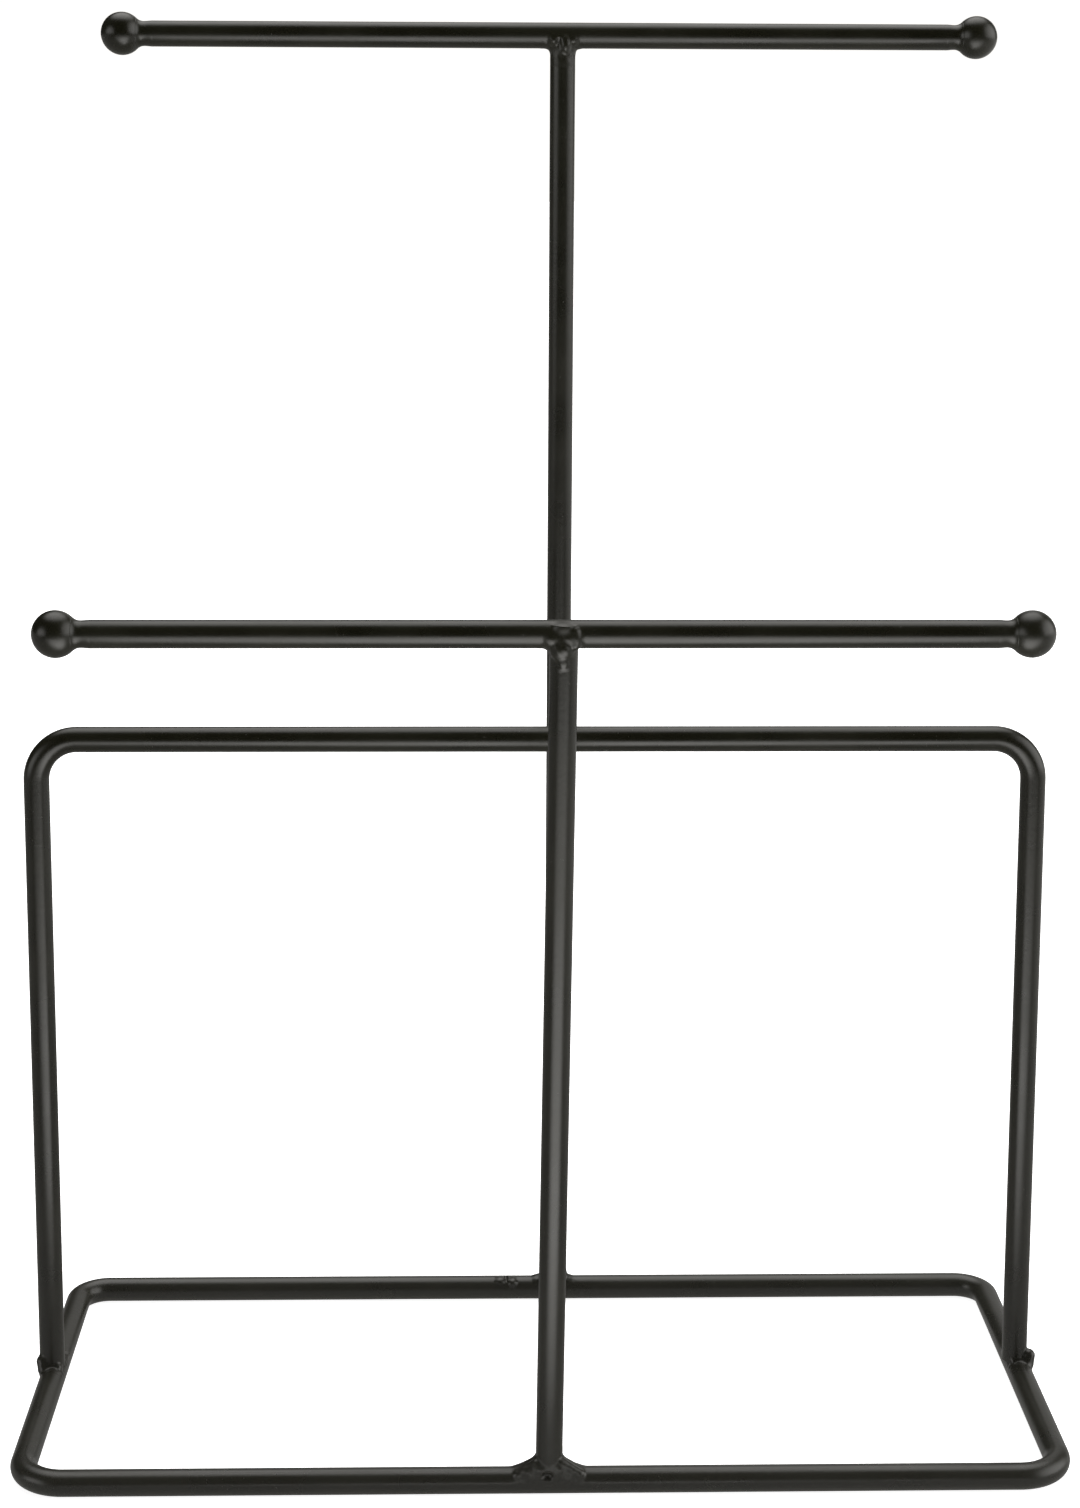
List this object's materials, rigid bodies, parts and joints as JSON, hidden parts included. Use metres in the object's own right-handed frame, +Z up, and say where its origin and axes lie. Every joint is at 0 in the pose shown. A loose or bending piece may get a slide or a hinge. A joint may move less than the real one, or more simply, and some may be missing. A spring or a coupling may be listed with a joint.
{
  "type": "valet stand",
  "caption": "Tabletop wire valet stand: a low and a tall T-bar with ball ends and a leaning hoop, all welded to a flat rectangular wire base.",
  "frame": {"origin": "on the table surface, under the middle of the base loop", "axes": "+X to the right along the crossbars, +Y from the low front T-bar to the tall back T-bar, +Z up"},
  "size_m": [0.2424, 0.1234, 0.325],
  "materials": {
    "coated_steel": "satin black powder coat",
    "coated_weld": "satin black powder coat over weld beads"
  },
  "bodies": {
    "root": {"base_loop": "coated_steel", "hoop": "coated_steel", "front_post": "coated_steel", "front_crossbar": "coated_steel", "front_ball_left": "coated_steel", "front_ball_right": "coated_steel", "back_post": "coated_steel", "back_crossbar": "coated_steel", "back_ball_left": "coated_steel", "back_ball_right": "coated_steel", "base_butt_weld": "coated_weld", "hoop_left_foot_weld_front": "coated_weld", "hoop_left_foot_weld_back": "coated_weld", "hoop_right_foot_weld_front": "coated_weld", "hoop_right_foot_weld_back": "coated_weld", "front_foot_weld_left": "coated_weld", "front_foot_weld_right": "coated_weld", "front_tee_weld_left": "coated_weld", "front_tee_weld_right": "coated_weld", "front_ball_weld_left": "coated_weld", "front_ball_weld_right": "coated_weld", "back_foot_weld_left": "coated_weld", "back_foot_weld_right": "coated_weld", "back_tee_weld_left": "coated_weld", "back_tee_weld_right": "coated_weld", "back_ball_weld_left": "coated_weld", "back_ball_weld_right": "coated_weld"}
  },
  "joints": []
}
